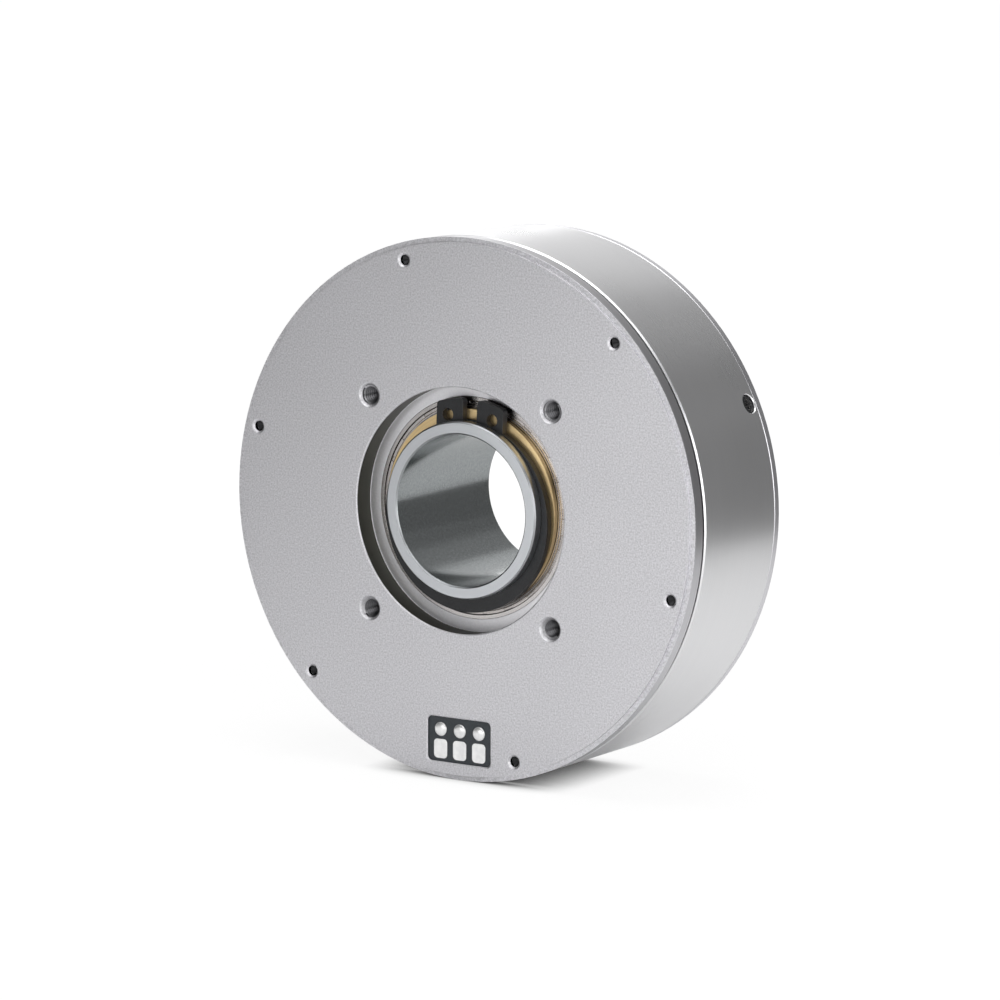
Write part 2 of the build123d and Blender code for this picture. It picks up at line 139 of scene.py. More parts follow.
class MotorEdges(bpy.types.PropertyGroup):
    hole_circle: FloatProperty(
        name="Hole circle", description="From the axis to each small rim hole's middle", default=0.050, unit="LENGTH"
    )
    hole_r: FloatProperty(name="Hole radius", description="Radius of a small rim hole", default=0.00149, unit="LENGTH")
    mouth_r: FloatProperty(
        name="Mouth radius", description="Inner radius of a rim hole's chamfer", default=0.00102, unit="LENGTH"
    )
    mouth_deep: FloatProperty(
        name="Mouth depth", description="Depth of a rim hole's chamfer", default=0.00042, unit="LENGTH"
    )
    holes: IntProperty(name="Holes", description="Small holes round the rim", default=6, min=1)
    first_angle: FloatProperty(
        name="First angle", description="Angle of the first rim hole", default=math.radians(45), subtype="ANGLE"
    )
    board_fit: FloatProperty(
        name="Board fit", description="Gap between the board and the window", default=0.000045, unit="LENGTH"
    )
    corner: FloatProperty(
        name="Window corner", description="Radius of the window's corners", default=0.001, unit="LENGTH"
    )
    window_edge: FloatProperty(
        name="Window edge", description="Width and depth of the window's chamfer", default=0.00022, unit="LENGTH"
    )
    recess_r: FloatProperty(
        name="Recess radius", description="Radius of the recess round the shaft", default=0.02449, unit="LENGTH"
    )
    recess_edge: FloatProperty(
        name="Recess edge", description="Width and depth of the recess's chamfer", default=0.00022, unit="LENGTH"
    )


class MotorShields(bpy.types.PropertyGroup):
    inner_r: FloatProperty(
        name="Inner radius", description="Radius of the shield's inner edge", default=0.01905, unit="LENGTH"
    )
    step_r: FloatProperty(
        name="Step radius", description="Radius where the pressed face steps down", default=0.0200, unit="LENGTH"
    )
    step_drop: FloatProperty(name="Step", description="Height of the pressed step", default=0.00022, unit="LENGTH")
    lip_r: FloatProperty(
        name="Lip radius", description="Inner radius of the crimped lip", default=0.0204, unit="LENGTH"
    )
    sheet: FloatProperty(name="Sheet", description="Thickness of the sheet", default=0.0002, unit="LENGTH")
    notches: IntProperty(name="Notches", description="Crimp marks round the lip", default=21, min=3)
    notch_deep: FloatProperty(name="Notch depth", description="Depth of a crimp mark", default=0.00012, unit="LENGTH")


class MotorTerminals(bpy.types.PropertyGroup):
    pad_wide: FloatProperty(name="Pad width", description="Width of a pad", default=0.0031, unit="LENGTH")
    pad_corner: FloatProperty(name="Pad corner", description="Radius of a pad's corners", default=0.0008, unit="LENGTH")
    pad_rim: FloatProperty(name="Pad rim", description="Width of a pad's raised rim", default=0.0003, unit="LENGTH")
    pad_dish: FloatProperty(
        name="Pad dish", description="How far a pad's middle lies below its rim", default=0.00003, unit="LENGTH"
    )
    joint_r: FloatProperty(name="Joint radius", description="Radius of a solder joint", default=0.0014, unit="LENGTH")
    count: IntProperty(name="Terminals", description="Pads and joints in a row", default=3, min=2)


class MotorScrews(bpy.types.PropertyGroup):
    shank_r: FloatProperty(
        name="Shank radius", description="Radius of the screw's shank", default=0.00125, unit="LENGTH"
    )
    shank_long: FloatProperty(
        name="Shank length", description="Length of the shank below the head", default=0.0042, unit="LENGTH"
    )
    head_thick: FloatProperty(name="Head height", description="Height of the head", default=0.0011, unit="LENGTH")
    sink: FloatProperty(
        name="Seat depth", description="From the can's surface to the head's seat", default=0.0015, unit="LENGTH"
    )
    cross_wide: FloatProperty(
        name="Cross width", description="Width of an arm of the cross recess", default=0.00095, unit="LENGTH"
    )
    cross_long: FloatProperty(
        name="Cross length", description="Length across the cross recess", default=0.003, unit="LENGTH"
    )
    cross_deep: FloatProperty(
        name="Cross depth", description="Depth of the cross recess", default=0.0009, unit="LENGTH"
    )
    count: IntProperty(name="Screws", description="Screws round the can", default=3, min=1)
    first_angle: FloatProperty(
        name="First angle", description="Angle of the first screw", default=math.radians(24), subtype="ANGLE"
    )


class MotorFinishes(bpy.types.PropertyGroup):
    aluminium: FloatVectorProperty(
        name="Aluminium", description="Anodised aluminium", default=(0.70, 0.695, 0.72), subtype="COLOR", size=3
    )
    can: FloatVectorProperty(
        name="Can", description="Turned steel of the can", default=(0.78, 0.78, 0.79), subtype="COLOR", size=3
    )
    shaft: FloatVectorProperty(
        name="Shaft", description="Ground steel of the shaft", default=(0.62, 0.64, 0.665), subtype="COLOR", size=3
    )
    bore: FloatVectorProperty(
        name="Bore", description="Honed steel of the shaft's bore", default=(0.33, 0.35, 0.355), subtype="COLOR", size=3
    )
    # Painted shade: a dark colour laid on the recess's bored wall, standing for the shade and dark reflection in it
    recess: FloatVectorProperty(
        name="Recess",
        description="Bored wall of the front recess",
        default=(0.075, 0.075, 0.062),
        subtype="COLOR",
        size=3,
    )
    # Painted shade: the dark colour laid on aluminium deep in holes and corners
    hollow: FloatVectorProperty(
        name="Hollow",
        description="Aluminium deep in holes and corners",
        default=(0.10, 0.10, 0.105),
        subtype="COLOR",
        size=3,
    )
    brass: FloatVectorProperty(
        name="Shim", description="Shim washer", default=(0.80, 0.60, 0.32), subtype="COLOR", size=3
    )
    black: FloatVectorProperty(
        name="Black steel",
        description="Blackened ring and screws",
        default=(0.009, 0.0095, 0.011),
        subtype="COLOR",
        size=3,
    )
    copper: FloatVectorProperty(
        name="Copper", description="Enamelled wire", default=(0.60, 0.22, 0.08), subtype="COLOR", size=3
    )
    bearing: FloatVectorProperty(
        name="Bearing steel",
        description="Polished steel of the races and balls",
        default=(0.66, 0.63, 0.62),
        subtype="COLOR",
        size=3,
    )
    shield: FloatVectorProperty(
        name="Shields", description="Pressed steel of the shields", default=(0.66, 0.62, 0.60), subtype="COLOR", size=3
    )
    board: FloatVectorProperty(
        name="Board",
        description="Solder mask of the terminal board",
        default=(0.021, 0.026, 0.031),
        subtype="COLOR",
        size=3,
    )


class MotorStudio(bpy.types.PropertyGroup):
    ambient: FloatProperty(
        name="Ambient", description="Strength of the world's light on matt surfaces", default=0.35, min=0
    )
    room: FloatProperty(name="Room", description="Brightness of the drape that metal reflects", default=0.04, min=0)
    near_lift: FloatProperty(
        name="Near lift", description="Light that the paper adds for the camera near the motor", default=0.9, min=0
    )
    far_lift: FloatProperty(
        name="Far lift", description="Light that the paper adds for the camera far from it", default=0.97, min=0
    )
    power: FloatProperty(name="Power", description="Factor on the power of every lamp", default=1.0, min=0)
    lens: FloatProperty(name="Lens", description="Focal length of the camera in millimetres", default=176.52)
    yaw: FloatProperty(
        name="Yaw", description="Camera's turn to the right of the motor", default=math.radians(33.548), subtype="ANGLE"
    )
    pitch: FloatProperty(name="Pitch", description="Camera's tilt down", default=math.radians(8.766), subtype="ANGLE")
    roll: FloatProperty(name="Roll", description="Camera's lean", default=math.radians(0.13), subtype="ANGLE")
    place: FloatVectorProperty(
        name="Camera",
        description="Place of the camera",
        default=(0.52763, -0.78122, 0.14758),
        subtype="XYZ",
        size=3,
        unit="LENGTH",
    )


# Modelling helpers
def start_piece():
    """Leaves edit mode and deselects all, so that the next operator acts on the new piece alone."""
    if bpy.context.mode != "OBJECT":
        bpy.ops.object.mode_set(mode="OBJECT")
    bpy.ops.object.select_all(action="DESELECT")


def named(name):
    """The piece that was just added, under its own name and with its place in its mesh."""
    piece = bpy.context.object
    piece.name = name
    piece.data.name = name
    bpy.ops.object.transform_apply(location=True, rotation=True, scale=True)
    return piece


def edit(piece):
    bpy.context.view_layer.objects.active = piece
    bpy.ops.object.mode_set(mode="EDIT")
    bpy.ops.mesh.select_all(action="SELECT")


def end_edit():
    """Points the faces outwards and goes back to object mode."""
    bpy.ops.mesh.select_all(action="SELECT")
    bpy.ops.mesh.normals_make_consistent(inside=False)
    bpy.ops.object.mode_set(mode="OBJECT")


def pick(kind, test):
    """Selects what passes the test.

    The test gets a vertex and its normal, an edge's middle and run, or a face's middle and normal.
    """
    bpy.ops.mesh.select_mode(type=kind)
    bpy.ops.mesh.select_all(action="DESELECT")
    data = bpy.context.edit_object.data
    mesh = bmesh.from_edit_mesh(data)
    if kind == "VERT":
        for vert in mesh.verts:
            vert.select_set(test(vert.co, vert.normal))
    elif kind == "EDGE":
        for edge in mesh.edges:
            start, end = (vert.co for vert in edge.verts)
            edge.select_set(test((start + end) / 2, end - start))
    else:
        for face in mesh.faces:
            face.select_set(test(face.calc_center_median(), face.normal))
    bmesh.update_edit_mesh(data)


def pick_rims():
    """Selects the open edges."""
    bpy.ops.mesh.select_mode(type="EDGE")
    bpy.ops.mesh.select_all(action="DESELECT")
    bpy.ops.mesh.select_non_manifold()


def choose(piece):
    """Selects the piece alone."""
    start_piece()
    piece.select_set(True)
    bpy.context.view_layer.objects.active = piece


def apply_modifier(piece, modifier):
    choose(piece)
    bpy.ops.object.modifier_apply(modifier=modifier.name)


def smooth(piece, degrees=35):
    choose(piece)
    bpy.ops.object.shade_smooth_by_angle(angle=math.radians(degrees))


def twin(piece, name, matrix):
    """A copy with its own mesh, moved by the matrix."""
    copied = piece.copy()
    copied.data = piece.data.copy()
    copied.name = name
    copied.data.name = name
    bpy.context.collection.objects.link(copied)
    copied.data.transform(matrix)
    return copied


def round_axis(angle):
    """A turn about the motor's axis, from +X towards +Z."""
    return Matrix.Rotation(-angle, 4, "Y")


def ring_of(piece, name, count, first):
    """The piece, made at angle 0, copied round the axis and joined into one."""
    copies = [twin(piece, f"{name}_{i}", round_axis(first + math.tau * i / count)) for i in range(count)]
    bpy.data.objects.remove(piece)
    return joined(copies, name)


def joined(pieces, name):
    start_piece()
    for piece in pieces:
        piece.select_set(True)
    bpy.context.view_layer.objects.active = pieces[0]
    bpy.ops.object.join()
    whole = bpy.context.object
    whole.name = name
    whole.data.name = name
    return whole


def turned_piece(name, outline, sides):
    """A closed ring about the motor's axis: a circle, extruded from corner to corner of its section, (radius, y)."""
    start_piece()
    radius, y = outline[0]
    bpy.ops.mesh.primitive_circle_add(vertices=sides, radius=radius, location=(0, y, 0), rotation=(math.pi / 2, 0, 0))
    piece = named(name)
    edit(piece)
    for next_radius, next_y in outline[1:]:
        bpy.ops.mesh.extrude_edges_move(TRANSFORM_OT_translate={"value": (0, next_y - y, 0)})
        size = next_radius / radius
        bpy.ops.transform.resize(value=(size, 1, size), center_override=(0, next_y, 0))
        radius, y = next_radius, next_y
    pick_rims()
    bpy.ops.mesh.bridge_edge_loops()
    end_edit()
    return piece


# Pieces
def thread_ridge(sizes, name, circle_r, start_y, turns):
    """One ridge in a hole at angle 0: a flat trapezium swept along a helix on the hole's wall."""
    start_piece()
    bpy.ops.mesh.primitive_plane_add(size=1)
    ridge = named(name)
    edit(ridge)
    bpy.ops.transform.resize(value=(sizes.height, sizes.root, 1), center_override=(0, 0, 0))
    middle = sizes.hole_r - sizes.height / 2
    bpy.ops.transform.translate(value=(middle, 0, 0))
    pick("VERT", lambda place, normal: place.x < middle)
    narrow = sizes.crest / sizes.root
    bpy.ops.transform.resize(value=(1, narrow, 1), center_override=(middle, 0, 0))
    bpy.ops.object.mode_set(mode="OBJECT")
    sweep = ridge.modifiers.new("Helix", "SCREW")
    sweep.axis = "Y"
    sweep.screw_offset = sizes.pitch
    sweep.iterations = turns
    sweep.steps = THREAD_SIDES
    sweep.render_steps = THREAD_SIDES
    apply_modifier(ridge, sweep)
    edit(ridge)
    bpy.ops.mesh.remove_doubles(threshold=1e-6)
    bpy.ops.mesh.fill_holes(sides=4)
    end_edit()
    ridge.data.transform(Matrix.Translation((circle_r, start_y, 0)))
    return ridge


class MOTOR_OT_threads(bpy.types.Operator):
    """Add the threads of the holes in the mounting plate and in the end plate"""

    bl_idname = "motor.threads"
    bl_label = "Add Threads"

    def execute(self, context):
        sizes = context.scene.motor_threads
        front_start = FACE_Y + sizes.mouth
        front = thread_ridge(sizes, "front_ridge", sizes.front_r, front_start, sizes.front_turns)
        front = ring_of(front, "front_threads", sizes.holes, sizes.first_angle)
        rear_start = REAR_Y - sizes.mouth - sizes.rear_turns * sizes.pitch
        rear = thread_ridge(sizes, "rear_ridge", sizes.rear_r, rear_start, sizes.rear_turns)
        rear = ring_of(rear, "rear_threads", sizes.holes, sizes.first_angle)
        for threads, body, slot in ((front, "stator", "blasted_aluminium"), (rear, "rotor", "turned_aluminium")):
            smooth(threads, 50)
            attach(threads, body)
            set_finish(threads, slot)
        return {"FINISHED"}


def hole_mouths(sizes):
    """The chamfers of the small rim holes: a cone ring, copied round the axis."""
    outline = [(sizes.hole_r, 0.0), (sizes.mouth_r, sizes.mouth_deep), (sizes.hole_r, sizes.mouth_deep)]
    mouth = turned_piece("mouth", outline, SMALL_SIDES)
    mouth.data.transform(Matrix.Translation((sizes.hole_circle, FACE_Y, 0)))
    return ring_of(mouth, "rim_hole_mouths", sizes.holes, sizes.first_angle)


def recess_chamfer(sizes):
    """The chamfer at the mouth of the recess."""
    edge_y = FACE_Y + sizes.recess_edge
    outline = [(sizes.recess_r, FACE_Y), (sizes.recess_r - sizes.recess_edge, edge_y), (sizes.recess_r, edge_y)]
    return turned_piece("recess_chamfer", outline, LARGE_SIDES)


def window_chamfer(sizes):
    """The chamfer round the terminal window: a rounded outline, drawn in as it goes down and closed along the wall."""
    wide = BOARD_HIGH.x - BOARD_LOW.x + 2 * sizes.board_fit
    high = BOARD_HIGH.z - BOARD_LOW.z + 2 * sizes.board_fit
    reach = sizes.window_edge
    start_piece()
    bpy.ops.mesh.primitive_plane_add(size=1, rotation=(math.pi / 2, 0, 0))
    frame_ring = named("window_chamfer")
    edit(frame_ring)
    bpy.ops.transform.resize(value=(wide, 1, high), center_override=(0, 0, 0))
    bpy.ops.mesh.bevel(offset=sizes.corner, segments=8, affect="VERTICES")
    bpy.ops.mesh.delete(type="ONLY_FACE")
    bpy.ops.mesh.select_all(action="SELECT")
    inner = ((wide - 2 * reach) / wide, 1, (high - 2 * reach) / high)
    bpy.ops.mesh.extrude_edges_move(TRANSFORM_OT_translate={"value": (0, reach, 0)})
    bpy.ops.transform.resize(value=inner, center_override=(0, 0, 0))
    bpy.ops.mesh.extrude_edges_move(TRANSFORM_OT_translate={"value": (0, 0, 0)})
    bpy.ops.transform.resize(value=(1 / inner[0], 1, 1 / inner[2]), center_override=(0, 0, 0))
    pick_rims()
    bpy.ops.mesh.bridge_edge_loops()
    end_edit()
    frame_ring.data.transform(Matrix.Translation((0, FACE_Y, (BOARD_LOW.z + BOARD_HIGH.z) / 2)))
    return frame_ring


class MOTOR_OT_edges(bpy.types.Operator):
    """Add the chamfers of the rim holes, the recess and the terminal window"""

    bl_idname = "motor.edges"
    bl_label = "Add Chamfers"

    def execute(self, context):
        sizes = context.scene.motor_edges
        for chamfer in (hole_mouths(sizes), recess_chamfer(sizes), window_chamfer(sizes)):
            smooth(chamfer)
            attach(chamfer, "stator")
            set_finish(chamfer, "blasted_aluminium")
        return {"FINISHED"}


def shield_outline(sizes, rim_r, face_y):
    """The section of a pressed shield whose raised inner zone lies at face_y, the bearing behind it at larger y."""
    low = face_y + sizes.step_drop
    back = sizes.sheet
    slope = sizes.step_drop / 2
    front = [
        (sizes.inner_r, face_y),
        (sizes.step_r, face_y),
        (sizes.step_r + slope, low),
        (sizes.lip_r, low),
        (sizes.lip_r + slope, face_y + slope),
        (rim_r - slope, face_y + slope),
        (rim_r, low),
    ]
    return front + [(radius, y + back) for radius, y in reversed(front)]


def pressed_shield(sizes, name):
    """The front shield, with notches pressed in its lip."""
    notch_sides = 6  # sides of the ring to each notch, of which two are pressed in
    outline = shield_outline(sizes, SHIELD_HIGH.x, SHIELD_LOW.y)
    shield = turned_piece(name, outline, sizes.notches * notch_sides)
    lip_mid = (sizes.lip_r + SHIELD_HIGH.x) / 2
    half_lip = (SHIELD_HIGH.x - sizes.lip_r) / 2
    notch = math.tau / sizes.notches

    def on_notch(place, normal):
        reach = math.hypot(place.x, place.z)
        turn = math.atan2(place.z, place.x) % notch
        return normal.y < -FACING and abs(reach - lip_mid) < half_lip / 2 and turn < notch / 3

    edit(shield)
    pick("FACE", on_notch)
    bpy.ops.mesh.inset(thickness=sizes.notch_deep / 2, depth=-sizes.notch_deep)
    end_edit()
    return shield


class MOTOR_OT_shields(bpy.types.Operator):
    """Add the pressed shields of both bearings"""

    bl_idname = "motor.shields"
    bl_label = "Add Bearing Shields"

    def execute(self, context):
        front = pressed_shield(context.scene.motor_shields, "front_pressed_shield")
        middle = (SHIELD_LOW.y + REAR_SHIELD_HIGH.y) / 2
        mirror = Matrix.Translation((0, 2 * middle, 0)) @ Matrix.Scale(-1, 4, (0, 1, 0))
        rear = twin(front, "rear_pressed_shield", mirror)
        start_piece()
        edit(rear)
        end_edit()
        for shield, node in ((front, "front_bearing_shield"), (rear, "rear_bearing_shield")):
            smooth(shield)
            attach(shield, "stator")
            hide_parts(node)
            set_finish(shield, "shield_steel")
        return {"FINISHED"}


def terminal_pad(sizes):
    """A pad in the middle of the row, with round corners and a raised rim."""
    thick = PADS_HIGH.y - PADS_LOW.y
    high = PADS_HIGH.z - PADS_LOW.z
    start_piece()
    bpy.ops.mesh.primitive_cube_add(size=1)
    pad = named("pad")
    edit(pad)
    bpy.ops.transform.resize(value=(sizes.pad_wide, thick, high), center_override=(0, 0, 0))
    bpy.ops.transform.translate(value=(0, (PADS_LOW.y + PADS_HIGH.y) / 2, (PADS_LOW.z + PADS_HIGH.z) / 2))
    pick("EDGE", lambda middle, run: abs(run.y) > thick / 2)
    bpy.ops.mesh.bevel(offset=sizes.pad_corner, segments=5, affect="EDGES")
    pick("FACE", lambda middle, normal: normal.y < -FACING)
    bpy.ops.mesh.bevel(offset=thick / 3, segments=2, affect="EDGES")
    pick("FACE", lambda middle, normal: normal.y < -FLAT)
    bpy.ops.mesh.inset(thickness=sizes.pad_rim)
    bpy.ops.mesh.inset(thickness=sizes.pad_rim / 2, depth=-sizes.pad_dish)
    end_edit()
    return pad


def solder_joint(sizes):
    """A joint in the middle of the row: the front half of a flattened ball, closed at the board."""
    high = JOINTS_HIGH.y - JOINTS_LOW.y
    start_piece()
    bpy.ops.mesh.primitive_uv_sphere_add(segments=28, ring_count=14, radius=1, rotation=(math.pi / 2, 0, 0))
    joint = named("joint")
    edit(joint)
    pick("VERT", lambda place, normal: place.y > 0.01)
    bpy.ops.mesh.delete(type="VERT")
    bpy.ops.mesh.select_all(action="SELECT")
    bpy.ops.transform.resize(value=(sizes.joint_r, high, sizes.joint_r), center_override=(0, 0, 0))
    bpy.ops.transform.translate(value=(0, JOINTS_HIGH.y, (JOINTS_LOW.z + JOINTS_HIGH.z) / 2))
    pick_rims()
    bpy.ops.mesh.edge_face_add()
    end_edit()
    return joint


class MOTOR_OT_terminals(bpy.types.Operator):
    """Add the pads and the solder joints of the terminal board"""

    bl_idname = "motor.terminals"
    bl_label = "Add Terminals"

    def execute(self, context):
        sizes = context.scene.motor_terminals
        reach = PADS_HIGH.x - sizes.pad_wide / 2
        for first, name, node in (
            (terminal_pad(sizes), "tinned_pads", "terminal_pads"),
            (solder_joint(sizes), "solder_domes", "solder_joints"),
        ):
            places = [reach * (2 * i / (sizes.count - 1) - 1) for i in range(sizes.count)]
            row = [twin(first, f"{name}_{i}", Matrix.Translation((x, 0, 0))) for i, x in enumerate(places)]
            bpy.data.objects.remove(first)
            row = joined(row, name)
            smooth(row, 50)
            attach(row, "stator")
            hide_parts(node)
            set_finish(row, "solder")
        return {"FINISHED"}


def cut(piece, cutter):
    """Takes the cutter's room out of the piece."""
    difference = piece.modifiers.new("Recess", "BOOLEAN")
    difference.operation = "DIFFERENCE"
    difference.solver = "EXACT"
    difference.object = cutter
    apply_modifier(piece, difference)
    bpy.data.objects.remove(cutter)


def cross_arm(sizes, top_x, middle_y, wide, long):
    """One arm of the recess, narrower at its floor."""
    narrow = 0.45
    start_piece()
    bpy.ops.mesh.primitive_cube_add(size=1)
    arm = named("arm")
    edit(arm)
    bpy.ops.transform.resize(value=(2 * sizes.cross_deep, wide, long), center_override=(0, 0, 0))
    bpy.ops.transform.translate(value=(top_x, middle_y, 0))
    pick("VERT", lambda place, normal: place.x < top_x)
    bpy.ops.transform.resize(value=(1, narrow, narrow), center_override=(top_x, middle_y, 0))
    end_edit()
    return arm


def cross_head_screw(sizes):
    """A screw at angle 0 that points to the axis, with a rounded head and a cross recess."""
    head_r = (SCREWS_HIGH.y - SCREWS_LOW.y) / 2
    middle_y = (SCREWS_HIGH.y + SCREWS_LOW.y) / 2
    seat_x = BODY_R - sizes.sink
    top_x = seat_x + sizes.head_thick
    start_piece()
    bpy.ops.mesh.primitive_cylinder_add(
        vertices=SMALL_SIDES,
        radius=head_r,
        depth=sizes.head_thick,
        location=((seat_x + top_x) / 2, middle_y, 0),
        rotation=(0, math.pi / 2, 0),
    )
    screw = named("screw")
    edit(screw)
    pick("FACE", lambda middle, normal: normal.x > FACING)
    bpy.ops.mesh.bevel(offset=sizes.head_thick / 4, segments=3, affect="EDGES")
    pick("FACE", lambda middle, normal: normal.x < -FACING)
    bpy.ops.mesh.inset(thickness=head_r - sizes.shank_r)
    bpy.ops.mesh.extrude_region_move(TRANSFORM_OT_translate={"value": (-sizes.shank_long, 0, 0)})
    end_edit()
    for wide, long in ((sizes.cross_wide, sizes.cross_long), (sizes.cross_long, sizes.cross_wide)):
        cut(screw, cross_arm(sizes, top_x, middle_y, wide, long))
    return screw


class MOTOR_OT_screws(bpy.types.Operator):
    """Add the cross-head screws in the can's pockets"""

    bl_idname = "motor.screws"
    bl_label = "Add Can Screws"

    def execute(self, context):
        sizes = context.scene.motor_screws
        screws = ring_of(cross_head_screw(sizes), "cross_head_screws", sizes.count, sizes.first_angle)
        smooth(screws)
        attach(screws, "rotor")
        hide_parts("can_screws")
        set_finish(screws, "black_steel")
        return {"FINISHED"}


# Node helpers
def node(tree, kind, **settings):
    made = tree.nodes.new(kind)
    for name, value in settings.items():
        setattr(made, name, value)
    return made


def feed(tree, target, value):
    """Links a socket to the target, or sets the target to a plain value."""
    if isinstance(value, bpy.types.NodeSocket):
        tree.links.new(value, target)
    else:
        target.default_value = value


def maths(tree, operation, *values):
    made = node(tree, "ShaderNodeMath", operation=operation)
    for target, value in zip(made.inputs, values):
        feed(tree, target, value)
    return made.outputs[0]


def spread(tree, value, low, high, to_low=0.0, to_high=1.0):
    """The value's part from low to high, stretched from to_low to to_high."""
    made = node(tree, "ShaderNodeMapRange")
    limits = {"Value": value, "From Min": low, "From Max": high, "To Min": to_low, "To Max": to_high}
    for label, limit in limits.items():
        feed(tree, made.inputs[label], limit)
    return made.outputs["Result"]


def slide(tree, share, first, second):
    """A value that goes from the first to the second with the share."""
    return spread(tree, share, 0.0, 1.0, first, second)


def stretch(tree, marks, low=0.0, high=1.0):
    """The busy middle of a noise, stretched from low to high."""
    return spread(tree, marks, 0.3, 0.7, low, high)


def times(tree, first, second):
    return maths(tree, "MULTIPLY", first, second)


def between(tree, value, low, high):
    """1 where the value lies between two others, else 0."""
    return times(tree, maths(tree, "GREATER_THAN", value, low), maths(tree, "LESS_THAN", value, high))


def near(tree, value, middle, reach):
    """1 where the value lies within reach of the middle, else 0."""
    return between(tree, value, middle - reach, middle + reach)


def noise(tree, place, scale, detail):
    made = node(tree, "ShaderNodeTexNoise")
    feed(tree, made.inputs["Vector"], place)
    feed(tree, made.inputs["Scale"], scale)
    made.inputs["Detail"].default_value = detail
    return made.outputs["Fac"]


def blend(tree, share, first, second):
    """A colour between two colours."""
    made = node(tree, "ShaderNodeMix", data_type="RGBA")
    colours = [socket for socket in made.inputs if socket.type == "RGBA"]
    feed(tree, made.inputs[0], share)
    for target, value in zip(colours, (first, second)):
        feed(tree, target, value if isinstance(value, bpy.types.NodeSocket) else (*value, 1.0))
    return next(socket for socket in made.outputs if socket.type == "RGBA")


def shade_of(colour, light):
    return tuple(min(1.0, part * light) for part in colour)


def tones(tree, share, colour, dark, light):
    """A colour whose shade goes from dark to light with the share."""
    return blend(tree, share, shade_of(colour, dark), shade_of(colour, light))


def new_group(name, inputs, outputs):
    """A shader node group with its input and output nodes."""
    tree = bpy.data.node_groups.new(name, "ShaderNodeTree")
    for label, default in inputs:
        made = tree.interface.new_socket(label, in_out="INPUT", socket_type="NodeSocketFloat")
        made.default_value = default
    for label, kind in outputs:
        tree.interface.new_socket(label, in_out="OUTPUT", socket_type=kind)
    return tree, node(tree, "NodeGroupInput").outputs, node(tree, "NodeGroupOutput").inputs


def use_group(tree, name, **values):
    """Places a group in a material and gives its inputs, named with _ for a space, their values."""
    made = node(tree, "ShaderNodeGroup", node_tree=bpy.data.node_groups[name])
    for label, value in values.items():
        feed(tree, made.inputs[label.replace("_", " ").capitalize()], value)
    return made.outputs


# Effects that several materials share
def build_places():
    """Where a point lies round the axis, and its way along a lathe tool's path."""
    tree, _, goes_out = new_group(
        "Places", [], [("Radius", "NodeSocketFloat"), ("Along", "NodeSocketFloat"), ("Path", "NodeSocketVector")]
    )
    drift = 0.00004  # how far a ring wanders in one turn, so that no ring is perfectly even
    split = node(tree, "ShaderNodeSeparateXYZ")
    feed(tree, split.inputs[0], node(tree, "ShaderNodeTexCoord").outputs["Object"])
    across, along, up = split.outputs
    radius = maths(tree, "SQRT", maths(tree, "ADD", times(tree, across, across), times(tree, up, up)))
    path = node(tree, "ShaderNodeCombineXYZ")
    feed(tree, path.inputs[0], maths(tree, "ADD", radius, along))
    for target, part in ((path.inputs[1], across), (path.inputs[2], up)):
        feed(tree, target, times(tree, maths(tree, "DIVIDE", part, radius), drift))
    feed(tree, goes_out["Radius"], radius)
    feed(tree, goes_out["Along"], along)
    feed(tree, goes_out["Path"], path.outputs[0])


def build_turning():
    """Fine rings of a lathe tool."""
    tree, goes_in, goes_out = new_group("Turning marks", [("Spacing", 0.0002)], [("Marks", "NodeSocketFloat")])
    path = use_group(tree, "Places")["Path"]
    scale = maths(tree, "DIVIDE", 1.0, goes_in["Spacing"])
    feed(tree, goes_out["Marks"], noise(tree, path, scale, 3.0))


def build_blasting():
    """The fine grain of a blasted face."""
    tree, goes_in, goes_out = new_group("Blasted grain", [("Grain", 0.0003)], [("Marks", "NodeSocketFloat")])
    place = node(tree, "ShaderNodeTexCoord").outputs["Object"]
    scale = maths(tree, "DIVIDE", 1.0, goes_in["Grain"])
    feed(tree, goes_out["Marks"], noise(tree, place, scale, 2.5))


def build_clouds():
    """Broad, soft differences from handling and plating."""
    tree, goes_in, goes_out = new_group("Clouds", [("Size", 0.02)], [("Marks", "NodeSocketFloat")])
    place = node(tree, "ShaderNodeTexCoord").outputs["Object"]
    scale = maths(tree, "DIVIDE", 1.0, goes_in["Size"])
    feed(tree, goes_out["Marks"], noise(tree, place, scale, 2.0))


def build_cavities():
    """How open a place is to the room: low in bores, corners and gaps; the mask for painted shade there."""
    tree, goes_in, goes_out = new_group("Cavities", [("Reach", 0.003)], [("Open", "NodeSocketFloat")])
    shelter = node(tree, "ShaderNodeAmbientOcclusion", samples=8)
    feed(tree, shelter.inputs["Distance"], goes_in["Reach"])
    feed(tree, goes_out["Open"], shelter.outputs["AO"])


def vector_maths(tree, operation, first, second, output="Vector"):
    made = node(tree, "ShaderNodeVectorMath", operation=operation)
    feed(tree, made.inputs[0], first)
    feed(tree, made.inputs["Scale" if operation == "SCALE" else 1], second)
    return made.outputs[output]


